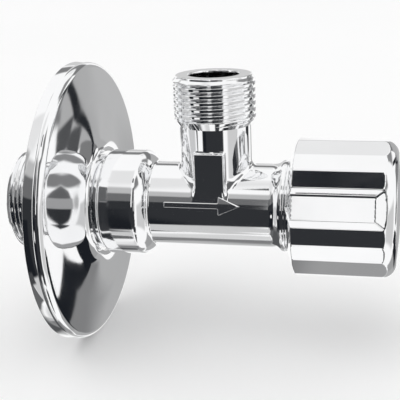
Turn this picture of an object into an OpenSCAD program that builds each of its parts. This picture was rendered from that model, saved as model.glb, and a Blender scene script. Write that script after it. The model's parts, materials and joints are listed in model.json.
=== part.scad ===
// Angle valve for a wash basin supply, in millimetres. The inlet axis is X, from the wall
// towards the handle. The origin lies on that axis in the plane of the wall. Z is up.

/* [Inlet] */
// Major diameter of the inlet thread, a half inch pipe thread
inlet_thread_d = 20.955; // [20.2:0.001:21.2]
// Length of the inlet thread that goes into the wall
inlet_reach = 12.5; // [10:0.5:18]
// Length of the inlet thread that stays in front of the wall plane
inlet_front = 2.4; // [1.5:0.1:3]
// Diameter of the plain shank between the thread and the collar
shank_d = 19.9; // [19.5:0.1:20.1]
// Bore of the inlet
inlet_bore_d = 12; // [10.5:0.5:13]

/* [Collar and tube] */
// Distance from the wall plane to the back of the collar
collar_x = 7.4; // [7:0.1:9]
// Diameter of the collar
collar_d = 22; // [21.4:0.2:24]
// Length of the cylindrical part of the collar
collar_len = 7.6; // [6:0.2:9]
// Diameter of the horizontal tube
tube_d = 17.3; // [17:0.1:18.5]
// Distance from the wall plane to the open end of the tube
tube_end_x = 45; // [44.6:0.1:47]
// How far the mouth of the tube flares outwards
mouth_flare = 0.4; // [0.2:0.05:0.45]

/* [Outlet] */
// Distance from the wall plane to the outlet axis
outlet_x = 30.3; // [29.8:0.1:30.6]
// Height of the outlet above the inlet axis
outlet_top_z = 27.2; // [25:0.1:32]
// Major diameter of the outlet thread, a three eighths inch pipe thread
outlet_thread_d = 16.662; // [16.4:0.001:16.9]
// Length of the full outlet thread
outlet_thread_len = 7.6; // [6:0.1:8.5]
// Bore of the socket for the riser tube in the outlet
outlet_bore_d = 10.2; // [8.6:0.1:10.4]
// Depth of the socket for the riser tube
outlet_socket_len = 12; // [9:0.5:14]
// Bore of the waterway between the chamber and the socket
outlet_way_d = 8; // [7:0.1:8.4]
// Diameter of the neck below the thread
neck_d = 14.6; // [13.8:0.1:15.4]
// Width of each flat beside the neck
flat_w = 6; // [4:0.2:7]
// Distance between the two flats
flat_af = 15.5; // [15:0.1:16]
// Height of the top edge of the flats
flat_top_z = 12.4; // [10:0.1:14]

/* [Seat] */
// Distance from the wall plane to the face of the seat
seat_x = 23.5; // [23.1:0.1:23.8]
// Bore of the seat
seat_bore_d = 8.6; // [7.6:0.1:9]
// Outer diameter of the raised seat ring
seat_ring_d = 10.8; // [10.2:0.1:11.2]
// Height of the seat ring above the floor of the chamber
seat_rise = 0.9; // [0.6:0.1:1.2]
// Diameter of the valve chamber and of the thread that holds the bonnet
chamber_d = 14; // [13.8:0.1:14.4]

/* [Escutcheon] */
// Diameter of the escutcheon
escutcheon_d = 58.6; // [50:0.1:70]
// Depth of its rim, from the wall to the front of the rolled lip
rim_depth = 3.7; // [3.2:0.1:4]
// Radius of the rolled lip
lip_r = 1.3; // [1:0.1:1.5]
// How much smaller the lip is than the back of the rim, on the radius
lip_drop = 0.1; // [0:0.05:0.3]
// Distance from the wall plane to the front of its neck
escutcheon_neck_x = 6.2; // [5.8:0.1:6.8]
// Width of the bell that leads from the face into the neck, on the radius
bell_w = 10; // [6:0.5:12]
// Thickness of the sheet
sheet_t = 0.9; // [0.7:0.05:1]
// Clearance between the neck and the shank, on the radius
escutcheon_clear = 0.7; // [0.4:0.05:0.9]

/* [Bonnet] */
// Length of the bonnet thread inside the tube
bonnet_reach = 9; // [8.7:0.1:9.2]
// Thickness of the gasket under the bonnet
gasket_t = 0.7; // [0.5:0.1:1]
// Diameter of the bonnet flange
flange_d = 17.1; // [16.6:0.1:17.3]
// Thickness of the bonnet flange
flange_t = 1.2; // [1:0.1:1.5]
// Size of the bonnet hexagon across its flats
bonnet_hex_af = 15; // [14:0.1:15.2]
// Length of the bonnet hexagon
bonnet_hex_len = 4.5; // [4:0.1:5]
// Diameter of the bonnet behind the hexagon
bonnet_neck_d = 12.4; // [11.6:0.1:13]
// Length of the spindle journal in the bonnet
journal_len = 6; // [5.8:0.1:6.2]
// Diameter of the round bore that guides the plunger
guide_bore_d = 11.2; // [11:0.05:11.4]
// Length of the round guide bore
guide_bore_len = 7.2; // [7:0.05:7.4]
// Size of the hexagonal guide in the bonnet across its flats
guide_hex_af = 8.4; // [8.3:0.05:8.6]

/* [Spindle] */
// Diameter of the spindle journal
journal_d = 7; // [6.8:0.1:7.2]
// Diameter of the spindle thread
spindle_thread_d = 6; // [5.6:0.1:6.2]
// Length of the spindle thread
spindle_thread_len = 11.6; // [11:0.1:12.5]
// Diameter of the thrust collar
thrust_d = 8.2; // [8.1:0.05:8.25]
// Thickness of the thrust collar
thrust_t = 1.2; // [1:0.1:1.4]
// Thickness of the slide ring in front of the thrust collar
slide_ring_t = 0.6; // [0.4:0.1:0.8]
// Outer diameter of the spindle spline
spline_d = 6.8; // [6.5:0.1:6.9]
// Depth of the spline grooves
spline_depth = 0.35; // [0.25:0.05:0.45]
// Number of spline teeth
spline_teeth = 20; // [12:1:24]

/* [Plunger] */
// Stroke of the plunger from shut to open
stroke = 4; // [3:0.1:4.2]
// Diameter of the cup that holds the seat washer
cup_d = 12.6; // [12:0.1:13]
// Thickness of the seat washer
washer_t = 2.2; // [1.8:0.1:2.4]
// Diameter of the plunger stem
stem_d = 8.4; // [8:0.1:8.8]
// Length of the piston that slides in the round guide
piston_len = 2.4; // [2.2:0.05:2.5]
// Length of the hexagon that slides in the hexagonal guide
plunger_hex_len = 6.3; // [6:0.1:6.4]

/* [Handle] */
// Diameter of the handle across the ridges of its lobes
handle_d = 28; // [26:0.2:32]
// Distance from the wall plane to the mouth of the handle
handle_x = 45.35; // [45.25:0.05:45.5]
// Overall length of the handle
handle_len = 22.6; // [22.4:0.1:24]
// Length of the bevel behind the lobes
bevel_len = 1.9; // [1.2:0.1:2.6]
// Diameter of the mouth of the handle
mouth_d = 18; // [17.8:0.1:18.6]
// Width of the rim around the mouth
mouth_rim = 0.35; // [0.25:0.05:0.6]
// Number of flutes, with one lobe of flat facets between each two
flutes = 3; // [3:1:3]
// Angle of the first flute above the front of the valve
flute_angle = 16; // [0:0.5:30]
// Angle from the middle of a flute to the first ridge beside it
facet_a = 31.2; // [28:0.2:34]
// Angle from the middle of a flute to the next ridge, where the top facet of the lobe starts
top_facet_a = 47.3; // [44:0.1:50]
// Width of a flute at its floor
flute_floor_w = 4.9; // [4:0.1:5.4]
// Width of a flute at its edges
flute_w = 7.6; // [6.8:0.1:8]
// Depth of a flute below its edges
flute_depth = 1.2; // [0.8:0.1:1.5]
// Distance from the end of the handle to the end of a flute's floor
flute_end = 4.6; // [4.2:0.1:6]
// Length of the ramp at the end of a flute
ramp_len = 1.9; // [1.4:0.1:2.4]
// Radius of the rounding at the end of the handle
crown_r = 2.9; // [2.2:0.1:3]
// Height of the dome on the end face
dome_rise = 0.7; // [0.5:0.1:1]
// Diameter of the boss around the insert
boss_d = 15.2; // [14.4:0.1:16]
// Size of the insert across its flats
insert_af = 10.4; // [9.8:0.1:11]
// Thickness of the web that the screw clamps
web_t = 1.6; // [1.3:0.1:1.7]
// Diameter of the recess for the screw and its plug
recess_d = 7.5; // [7.3:0.1:8]

/* [Screws and seals] */
// Diameter of the handle screw
handle_screw_d = 4; // [3.5:0.1:4.2]
// Length of the handle screw below its head
handle_screw_len = 6.8; // [6.4:0.1:7.4]
// Diameter of the heads of the handle screw
handle_screw_head_d = 6.8; // [6.4:0.1:7]
// Height of the head of the handle screw
handle_screw_head_h = 1.6; // [1.4:0.1:1.7]
// Thickness of the spring washer under the handle screw
spring_washer_t = 0.8; // [0.6:0.1:1]
// Diameter of the washer screw
washer_screw_d = 3; // [2.6:0.1:3.4]
// Length of the washer screw below its head
washer_screw_len = 6.5; // [5.5:0.1:7]
// Thickness of the plate under the washer screw
plate_t = 0.5; // [0.4:0.1:0.8]
// Diameter of the plate under the washer screw
plate_d = 6.4; // [6:0.1:7]
// Thickness of the plug in the end of the handle
plug_t = 1.2; // [1:0.1:1.4]
// Thickness of the circlip
circlip_t = 0.6; // [0.5:0.05:0.7]

/* [Fits] */
// Running clearance of a sliding or turning piece, on the radius
running = 0.05; // [0.03:0.01:0.08]
// Clearance of a screwed or pressed piece, on the radius
seated = 0.02; // [0.01:0.01:0.04]
// Gap between the seat and the washer when the valve is shut
shut_gap = 0.02; // [0.01:0.01:0.05]

/* [Hidden] */

chrome = "gainsboro";
brass = "goldenrod";
steel = "silver";
rubber = "dimgray";
nylon = "ivory";

$fn = 96;
arc_steps = 8;
past = 0.1;
edge = 0.4;

// Body, from the wall outwards
thread_chamfer = 1;
relief_len = 0.6;
collar_edge_r = 0.8;
collar_end_x = collar_x + collar_len;
shoulder_r = (collar_d - tube_d) / 2;
flare_r = 3.8;
flare_a = acos(1 - mouth_flare / flare_r);
flare_x = tube_end_x - edge - flare_r * sin(flare_a);
seat_bore_x = seat_x - 3.4;
funnel_len = 1.8;
chamber_x = seat_x - seat_rise;

// Outlet, upwards from the inlet axis
outlet_lead = 1;
thread_top_z = outlet_top_z - outlet_lead;
thread_bottom_z = thread_top_z - outlet_thread_len;
runout_len = 1.6;
lead_drop = 1.1;

// Bonnet
bonnet_x = tube_end_x - bonnet_reach;
flange_x = tube_end_x + gasket_t;
bonnet_hex_x = flange_x + flange_t;
bonnet_neck_x = bonnet_hex_x + bonnet_hex_len;
bonnet_thread_r = chamber_d / 2 - seated;
bonnet_relief_r = bonnet_thread_r - 0.5;
guide_hex_x = bonnet_x + guide_bore_len;
journal_x = bonnet_neck_x;
bonnet_end_x = journal_x + journal_len;

// Screw and plug in the end of the handle, which set where the spindle ends
handle_end_x = handle_x + handle_len;
plug_gap = 0.55;
plug_x = handle_end_x + 0.2 - plug_t;
head_x = plug_x - plug_gap - handle_screw_head_h;
washer_seat_x = head_x - spring_washer_t;
web_x = washer_seat_x - web_t;

// Spindle, held between the journal shoulder and the circlip
slide_ring_x = journal_x - slide_ring_t;
thrust_x = slide_ring_x - thrust_t;
spindle_x = thrust_x - spindle_thread_len;
bore_r = journal_d / 2 + running;
clip_gap = 0.1;
clip_groove_x = bonnet_end_x + clip_gap;
clip_groove_len = circlip_t + clip_gap;
clip_groove_d = journal_d - 1.2;
spline_x = clip_groove_x + clip_groove_len;
spline_end_x = web_x;
spindle_hole_len = 5.4;

// Seal grooves
groove_w = 1.3;
spindle_groove_r = journal_d / 2 - 0.95;
spindle_seal_r = (bore_r - seated - spindle_groove_r) / 2;
seal_margin = 0.8;
inner_groove_x = journal_x + seal_margin;
outer_groove_x = bonnet_end_x - seal_margin - groove_w;

// Plunger, drawn with the valve shut
washer_x = seat_x + shut_gap;
cup_floor_x = washer_x + washer_t;
cup_rim_len = 1.3;
cup_rim_t = 0.55;
cup_back_x = cup_floor_x + 1.7;
piston_x = bonnet_x + 0.5;
hex_x = piston_x + piston_len;
plunger_end_x = hex_x + plunger_hex_len;
plunger_hole_x = spindle_x - stroke - 0.5;
piston_r = guide_bore_d / 2 - 2 * running;
piston_groove_r = piston_r - 0.93;
piston_groove_x = piston_x + (piston_len - groove_w) / 2;
piston_seal_r = (guide_bore_d / 2 - seated - piston_groove_r) / 2;
washer_r = cup_d / 2 - cup_rim_t - seated;
plate_x = washer_x - plate_t;
washer_head_d = 5.2;
washer_head_h = 1.2;

// Handle
lobe_x = handle_x + bevel_len;
ridge_r = handle_d / 2;
rim_r = mouth_d / 2 + mouth_rim;
bevel_slope = (ridge_r - rim_r) / bevel_len;
pitch = 360 / flutes;
flute_half_a = asin(flute_w / 2 / ridge_r);
flute_edge_y = ridge_r * cos(flute_half_a);
flute_floor_y = flute_edge_y - flute_depth;
ramp_x = handle_end_x - flute_end;
band_r = ridge_r + 0.1;
pocket_end_x = spline_end_x - 0.2;
boss_x = spline_x + 0.2;
insert_x = boss_x + 0.3;

// Points of an arc in [x, radius] about a centre, for profiles turned about the inlet axis
function arc(cx, cr, r, from, to) =
    [for (i = [0:arc_steps]) let (a = from + (to - from) * i / arc_steps)
        [cx + r * cos(a), cr + r * sin(a)]];

// Corner radius of a hexagon of the given size across its flats
function hex_r(af) = af / 2 / cos(30);

// A solid of revolution about the inlet axis, from [x, radius] points
module turned(points) {
    rotate([0, 90, 0]) rotate_extrude() polygon([for (p = points) [p[1], p[0]]]);
}

// A cylinder along the inlet axis
module rod(x0, x1, r, sides = $fn) {
    translate([x0, 0, 0]) rotate([0, 90, 0]) cylinder(h = x1 - x0, r = r, $fn = sides);
}

// A flat ring around the inlet axis
module ring(x0, x1, inner_r, outer_r) {
    turned([[x0, inner_r], [x0, outer_r], [x1, outer_r], [x1, inner_r]]);
}

// A sealing ring of round section around the inlet axis
module o_ring(x, middle_r, section_r) {
    translate([x, 0, 0]) rotate([0, 90, 0])
        rotate_extrude() translate([middle_r, 0]) circle(r = section_r, $fn = 32);
}

// The forging of the body as turned about the inlet axis
module body_barrel() {
    turned(concat(
        [[-inlet_reach, 0], [-inlet_reach, inlet_thread_d / 2 - thread_chamfer]],
        [[-inlet_reach + thread_chamfer, inlet_thread_d / 2]],
        [[inlet_front, inlet_thread_d / 2], [inlet_front + relief_len, shank_d / 2]],
        [[collar_x, shank_d / 2]],
        arc(collar_x + collar_edge_r, collar_d / 2 - collar_edge_r, collar_edge_r, 180, 90),
        arc(collar_end_x, tube_d / 2, shoulder_r, 90, 0),
        arc(flare_x, tube_d / 2 + flare_r, flare_r, -90, -90 + flare_a),
        [[tube_end_x, tube_d / 2 + mouth_flare], [tube_end_x, 0]]
    ));
}

// The outlet branch with its neck, thread and rounded mouth
module outlet_branch() {
    translate([outlet_x, 0, 0]) rotate_extrude() polygon([
        [0, 0], [neck_d / 2, 0], [neck_d / 2, thread_bottom_z - runout_len],
        [outlet_thread_d / 2, thread_bottom_z], [outlet_thread_d / 2, thread_top_z],
        [outlet_thread_d / 2 - lead_drop, outlet_top_z], [0, outlet_top_z]
    ]);
}

// The waterway through the inlet, the seat and the chamber
module waterway() {
    turned([
        [-inlet_reach - past, 0], [-inlet_reach - past, inlet_bore_d / 2],
        [seat_bore_x - funnel_len, inlet_bore_d / 2], [seat_bore_x, seat_bore_d / 2],
        [seat_x, seat_bore_d / 2], [seat_x, seat_ring_d / 2], [chamber_x, seat_ring_d / 2],
        [chamber_x, chamber_d / 2], [tube_end_x + past, chamber_d / 2], [tube_end_x + past, 0]
    ]);
    translate([outlet_x, 0, 0]) cylinder(h = outlet_top_z, d = outlet_way_d);
    translate([outlet_x, 0, outlet_top_z - outlet_socket_len])
        cylinder(h = outlet_socket_len + past, d = outlet_bore_d);
}

module valve_body() {
    color(chrome) difference() {
        union() {
            body_barrel();
            outlet_branch();
            translate([outlet_x - flat_w / 2, -flat_af / 2, 0]) cube([flat_w, flat_af, flat_top_z]);
        }
        waterway();
    }
}

module escutcheon() {
    r = escutcheon_d / 2;
    neck_r = shank_d / 2 + escutcheon_clear;
    outer_neck_r = neck_r + sheet_t;
    foot_x = rim_depth + 0.2;
    rise = escutcheon_neck_x - foot_x;
    face = [for (i = [0:arc_steps]) let (a = 90 * i / arc_steps)
        [foot_x + rise * (1 - cos(a)), outer_neck_r + bell_w * (1 - sin(a))]];
    back = [for (i = [arc_steps:-1:0]) let (a = 90 * i / arc_steps)
        [foot_x - sheet_t + rise * (1 - cos(a)), neck_r + bell_w * (1 - sin(a))]];
    color(chrome) turned(concat(
        [[0, r - sheet_t], [0, r]],
        arc(rim_depth - lip_r, r - lip_drop - lip_r, lip_r, 115, 0),
        face, [[escutcheon_neck_x, neck_r]], back,
        [[rim_depth - sheet_t, r - sheet_t - lip_drop]]
    ));
}

module bonnet() {
    color(brass) difference() {
        union() {
            turned([
                [bonnet_x, 0], [bonnet_x, bonnet_thread_r - edge], [bonnet_x + edge, bonnet_thread_r],
                [tube_end_x - 1, bonnet_thread_r], [tube_end_x - edge, bonnet_relief_r],
                [flange_x, bonnet_relief_r], [flange_x, flange_d / 2],
                [bonnet_hex_x, flange_d / 2], [bonnet_hex_x, bonnet_neck_d / 2],
                [bonnet_end_x - edge, bonnet_neck_d / 2], [bonnet_end_x, bonnet_neck_d / 2 - edge],
                [bonnet_end_x, 0]
            ]);
            intersection() {
                rod(bonnet_hex_x, bonnet_neck_x, hex_r(bonnet_hex_af), 6);
                turned([
                    [bonnet_hex_x, 0], [bonnet_hex_x, hex_r(bonnet_hex_af)],
                    [bonnet_neck_x - 1, hex_r(bonnet_hex_af)], [bonnet_neck_x, bonnet_hex_af / 2],
                    [bonnet_neck_x, 0]
                ]);
            }
        }
        rod(bonnet_x - past, guide_hex_x, guide_bore_d / 2);
        rod(guide_hex_x - past, journal_x, hex_r(guide_hex_af), 6);
        rod(journal_x - past, bonnet_end_x + past, bore_r);
    }
}

module bonnet_gasket() {
    color(rubber) ring(tube_end_x, flange_x, chamber_d / 2 + seated, flange_d / 2);
}

// Outline of the spline, grown by a clearance for the hole that fits over it
module spline_outline(clear = 0) {
    tooth_a = 360 / spline_teeth;
    tip_r = spline_d / 2 + clear;
    root_r = tip_r - spline_depth;
    polygon([for (i = [0:spline_teeth - 1], k = [0:3])
        let (a = (i + k * 0.25) * tooth_a, r = k < 2 ? root_r : tip_r) [r * cos(a), r * sin(a)]]);
}

module spline(x0, x1, clear = 0) {
    translate([x0, 0, 0]) rotate([0, 90, 0]) linear_extrude(x1 - x0) spline_outline(clear);
}

module spindle() {
    color(brass) difference() {
        union() {
            turned([
                [spindle_x, 0], [spindle_x, spindle_thread_d / 2 - edge],
                [spindle_x + edge, spindle_thread_d / 2], [thrust_x, spindle_thread_d / 2],
                [thrust_x, thrust_d / 2], [slide_ring_x, thrust_d / 2], [slide_ring_x, journal_d / 2],
                [inner_groove_x, journal_d / 2], [inner_groove_x, spindle_groove_r],
                [inner_groove_x + groove_w, spindle_groove_r],
                [inner_groove_x + groove_w, journal_d / 2],
                [outer_groove_x, journal_d / 2], [outer_groove_x, spindle_groove_r],
                [outer_groove_x + groove_w, spindle_groove_r],
                [outer_groove_x + groove_w, journal_d / 2],
                [clip_groove_x, journal_d / 2], [clip_groove_x, clip_groove_d / 2],
                [spline_x, clip_groove_d / 2], [spline_x, 0]
            ]);
            spline(spline_x, spline_end_x);
        }
        rod(spline_end_x - spindle_hole_len, spline_end_x + past, handle_screw_d / 2 + seated);
    }
}

module slide_ring() {
    color(nylon) ring(slide_ring_x, journal_x, journal_d / 2 + seated, thrust_d / 2);
}

module spindle_o_ring(groove_x) {
    color(rubber) o_ring(groove_x + groove_w / 2, spindle_groove_r + spindle_seal_r, spindle_seal_r);
}

module spindle_o_ring_inner() spindle_o_ring(inner_groove_x);

module spindle_o_ring_outer() spindle_o_ring(outer_groove_x);

module circlip() {
    outer_r = clip_groove_d / 2 + 1.7;
    clip_mouth = 4.4;
    color(steel) difference() {
        ring(clip_groove_x + clip_gap / 2, clip_groove_x + clip_gap / 2 + circlip_t,
            clip_groove_d / 2 + seated, outer_r);
        translate([clip_groove_x - past, -clip_mouth / 2, -outer_r - past])
            cube([clip_groove_len + 2 * past, clip_mouth, outer_r]);
    }
}

module plunger() {
    color(brass) difference() {
        union() {
            turned([
                [cup_floor_x - cup_rim_len, 0], [cup_floor_x - cup_rim_len, cup_d / 2],
                [cup_back_x, cup_d / 2], [cup_back_x + 1, stem_d / 2], [piston_x, stem_d / 2],
                [piston_x, piston_r], [piston_groove_x, piston_r],
                [piston_groove_x, piston_groove_r], [piston_groove_x + groove_w, piston_groove_r],
                [piston_groove_x + groove_w, piston_r], [hex_x, piston_r], [hex_x, 0]
            ]);
            rod(hex_x, plunger_end_x, hex_r(guide_hex_af - 2 * running), 6);
        }
        rod(cup_floor_x - cup_rim_len - past, cup_floor_x, washer_r + seated);
        rod(plate_x, plate_x + washer_screw_len + 1, washer_screw_d / 2 + seated);
        rod(plunger_hole_x, plunger_end_x + past, spindle_thread_d / 2 + running);
    }
}

module plunger_o_ring() {
    color(rubber)
        o_ring(piston_groove_x + groove_w / 2, piston_groove_r + piston_seal_r, piston_seal_r);
}

module seat_washer() {
    color(rubber) ring(washer_x, cup_floor_x, washer_screw_d / 2 + seated, washer_r);
}

module washer_plate() {
    color(steel) ring(plate_x, washer_x, washer_screw_d / 2 + seated, plate_d / 2);
}

module washer_screw() {
    slot_w = 0.8;
    slot_depth = 0.6;
    color(steel) difference() {
        union() {
            rod(plate_x - washer_head_h, plate_x, washer_head_d / 2);
            rod(plate_x - past, plate_x + washer_screw_len, washer_screw_d / 2);
        }
        translate([plate_x - washer_head_h - past, -washer_head_d, -slot_w / 2])
            cube([slot_depth + past, 2 * washer_head_d, slot_w]);
    }
}

// The handle before its flutes are cut: a bevelled prism of flat facets and a rounded crown
module handle_blank() {
    crown_corner_r = band_r - crown_r;
    dome_r = (pow(crown_corner_r, 2) + pow(dome_rise, 2)) / 2 / dome_rise;
    dome_a = asin(crown_corner_r / dome_r);
    intersection() {
        turned(concat(
            [[handle_x, 0], [handle_x, rim_r], [lobe_x + (band_r - ridge_r) / bevel_slope, band_r]],
            arc(handle_end_x - dome_rise - crown_r, crown_corner_r, crown_r, 90, dome_a),
            arc(handle_end_x - dome_r, 0, dome_r, dome_a, 0)
        ));
        translate([handle_x - past, 0, 0]) rotate([0, 90, 0]) linear_extrude(handle_len + 2 * past)
            rotate(-90 - flute_angle) lobe_outline();
    }
}

// Outline of the lobes. The facets beside a flute run on until they meet over its middle.
module lobe_outline() {
    side_mid_a = (flute_half_a + facet_a) / 2;
    peak_r = ridge_r * cos(side_mid_a - flute_half_a) / cos(side_mid_a);
    lobe = [[0, peak_r], [facet_a, ridge_r], [top_facet_a, ridge_r],
        [pitch - top_facet_a, ridge_r], [pitch - facet_a, ridge_r]];
    polygon([for (i = [0:flutes - 1], p = lobe)
        let (a = i * pitch + p[0]) [p[1] * cos(a), p[1] * sin(a)]]);
}

// One flute at the front, as a trapezoid along the handle with a bevelled back and a ramp
module flute() {
    top = 3;
    slope = (flute_w - flute_floor_w) / 2 / flute_depth;
    half_top = flute_w / 2 + slope * top;
    floor_x = lobe_x + (flute_edge_y - ridge_r) / bevel_slope;
    ramp_slope = flute_depth / ramp_len;
    intersection() {
        rotate([90, 0, 90]) translate([0, 0, handle_x - 1]) linear_extrude(handle_len)
            polygon([
                [-flute_floor_y, -flute_floor_w / 2], [-flute_floor_y, flute_floor_w / 2],
                [-flute_edge_y - top, half_top], [-flute_edge_y - top, -half_top]
            ]);
        translate([0, 0, -ridge_r]) linear_extrude(2 * ridge_r) polygon([
            [floor_x - flute_floor_y / bevel_slope, 0], [floor_x, -flute_floor_y],
            [ramp_x, -flute_floor_y], [ramp_x + (flute_depth + top) / ramp_slope, -flute_edge_y - top],
            [handle_x - 1, -flute_edge_y - top], [handle_x - 1, 0]
        ]);
    }
}

module handle() {
    color(chrome) difference() {
        handle_blank();
        for (i = [0:flutes - 1]) rotate([i * pitch - flute_angle, 0, 0]) flute();
        difference() {
            rod(handle_x - past, pocket_end_x, mouth_d / 2);
            rod(boss_x, pocket_end_x + past, boss_d / 2);
        }
        rod(boss_x - past, web_x, hex_r(insert_af), 6);
        rod(web_x - past, washer_seat_x + past, handle_screw_d / 2 + 0.2);
        rod(washer_seat_x, handle_end_x + past, recess_d / 2);
    }
}

module handle_insert() {
    color(nylon) difference() {
        rod(insert_x, web_x, hex_r(insert_af - 2 * seated), 6);
        spline(insert_x - past, web_x + past, seated);
    }
}

module handle_screw() {
    recess_w = 0.9;
    recess_depth = 1;
    color(steel) difference() {
        union() {
            rod(head_x - handle_screw_len, head_x + past, handle_screw_d / 2);
            turned([
                [head_x, 0], [head_x, handle_screw_head_d / 2],
                [head_x + handle_screw_head_h / 2, handle_screw_head_d / 2],
                [head_x + handle_screw_head_h, handle_screw_head_d / 2 - 0.8],
                [head_x + handle_screw_head_h, 0]
            ]);
        }
        for (a = [0, 90]) rotate([a, 0, 0])
            translate([head_x + handle_screw_head_h - recess_depth, -2, -recess_w / 2])
                cube([recess_depth + past, 4, recess_w]);
    }
}

module screw_washer() {
    color(steel) difference() {
        ring(washer_seat_x, head_x, handle_screw_d / 2 + 0.1, handle_screw_head_d / 2 + 0.1);
        translate([washer_seat_x - past, 0, -0.3])
            cube([spring_washer_t + 2 * past, handle_screw_head_d, 0.6]);
    }
}

module handle_plug() {
    plug_r = recess_d / 2 - seated;
    color(chrome) turned([
        [plug_x, 0], [plug_x, plug_r], [plug_x + plug_t - 0.3, plug_r],
        [plug_x + plug_t - 0.1, plug_r - 0.4], [plug_x + plug_t, plug_r - 1.4], [plug_x + plug_t, 0]
    ]);
}

valve_body();
escutcheon();
bonnet();
bonnet_gasket();
spindle();
slide_ring();
spindle_o_ring_inner();
spindle_o_ring_outer();
circlip();
plunger();
plunger_o_ring();
seat_washer();
washer_plate();
washer_screw();
handle();
handle_insert();
handle_screw();
screw_washer();
handle_plug();
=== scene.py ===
"""Chrome angle valve: rounded forgings, cut pipe threads, handle casting, flange and studio.

Laid out as an add-on and run as a script. The valve's lengths are in millimetres, as on a
drawing. Meshes end up in metres in the frame of the solid model: X runs along the inlet axis
from the wall to the handle, Z is up along the outlet, and the front of the valve faces -Y.
"""

import json
import math
from functools import partial

import bmesh
import bpy
import numpy as np
from bpy.props import FloatProperty, FloatVectorProperty, IntProperty, PointerProperty
from mathutils import Matrix, Vector


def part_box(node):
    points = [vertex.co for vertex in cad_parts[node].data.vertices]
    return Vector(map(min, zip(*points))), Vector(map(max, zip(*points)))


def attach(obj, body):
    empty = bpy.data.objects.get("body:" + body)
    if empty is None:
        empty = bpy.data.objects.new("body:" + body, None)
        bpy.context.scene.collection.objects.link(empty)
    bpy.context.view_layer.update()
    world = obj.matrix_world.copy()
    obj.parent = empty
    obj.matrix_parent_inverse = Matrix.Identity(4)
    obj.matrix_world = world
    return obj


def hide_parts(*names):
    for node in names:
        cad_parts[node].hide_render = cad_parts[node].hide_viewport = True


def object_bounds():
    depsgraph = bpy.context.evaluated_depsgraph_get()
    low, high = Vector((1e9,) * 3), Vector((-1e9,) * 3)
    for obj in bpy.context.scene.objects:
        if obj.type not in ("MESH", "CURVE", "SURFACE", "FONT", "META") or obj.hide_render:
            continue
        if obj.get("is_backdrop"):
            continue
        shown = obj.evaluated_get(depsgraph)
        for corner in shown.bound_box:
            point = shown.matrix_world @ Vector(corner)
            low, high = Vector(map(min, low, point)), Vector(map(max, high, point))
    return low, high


bl_info = {
    "name": "Angle Valve Dresser",
    "version": (1, 0, 0),
    "blender": (4, 5, 0),
    "location": "3D View > Sidebar > Angle Valve",
    "description": "Builds the visible surfaces, finishes and studio of a chrome angle valve",
    "category": "Object",
}

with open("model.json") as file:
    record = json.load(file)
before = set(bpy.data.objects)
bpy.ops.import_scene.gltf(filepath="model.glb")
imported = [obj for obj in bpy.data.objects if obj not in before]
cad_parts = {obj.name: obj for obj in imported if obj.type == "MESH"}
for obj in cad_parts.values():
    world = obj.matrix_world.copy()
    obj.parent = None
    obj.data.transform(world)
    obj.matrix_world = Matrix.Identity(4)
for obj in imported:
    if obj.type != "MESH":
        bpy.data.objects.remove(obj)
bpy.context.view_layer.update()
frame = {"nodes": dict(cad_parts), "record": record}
MM = 0.001
MOUNTS = {mount["name"]: mount for mount in frame["record"]["mounts"]}


def mount_radius(name):
    """Radius of a pin or bore mount, in millimetres."""
    return MOUNTS[name]["dims"]["r_mm"]


def node_ends(node, axis):
    """Lowest and highest coordinate of a node of the solid model along an axis, in millimetres."""
    low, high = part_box(node)
    return low[axis] / MM, high[axis] / MM


INLET_END, TUBE_END = node_ends("valve_body", 0)
OUTLET_TOP = node_ends("valve_body", 2)[1]
OUTLET_X = MOUNTS["outlet_bore"]["pos_m"][0] / MM
SOCKET_FLOOR = OUTLET_TOP - MOUNTS["outlet_bore"]["dims"]["length_mm"]
FLANGE_R = node_ends("escutcheon", 2)[1]
FLANGE_NECK_X = node_ends("escutcheon", 0)[1]
HANDLE_START, HANDLE_END = node_ends("handle", 0)
PLUG_START, PLUG_END = node_ends("handle_plug", 0)
PLUG_R = node_ends("handle_plug", 2)[1]

# How far a solid reaches into the next one, and a cut past an open end
OVERLAP = 1
THROUGH = 5
# Rounding of the corners that look sharp
CRISP = 0.05


# Settings

def length(name, text, value, low=0.0):
    """A length in millimetres that a user may change."""
    return FloatProperty(name=name, description=text, default=value, min=low, precision=3)


def angle(name, text, degrees):
    """An angle that a user may change."""
    return FloatProperty(
        name=name, description=text, default=math.radians(degrees), subtype="ANGLE")


def whole(name, text, value, low):
    """A whole number that a user may change."""
    return IntProperty(name=name, description=text, default=value, min=low)


def amount(name, text, value):
    """A number without a unit that a user may change."""
    return FloatProperty(name=name, description=text, default=value)


def tone(name, text, *value):
    """A colour that a user may change."""
    return FloatVectorProperty(
        name=name, description=text, subtype="COLOR", default=value, min=0, max=1)


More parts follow.
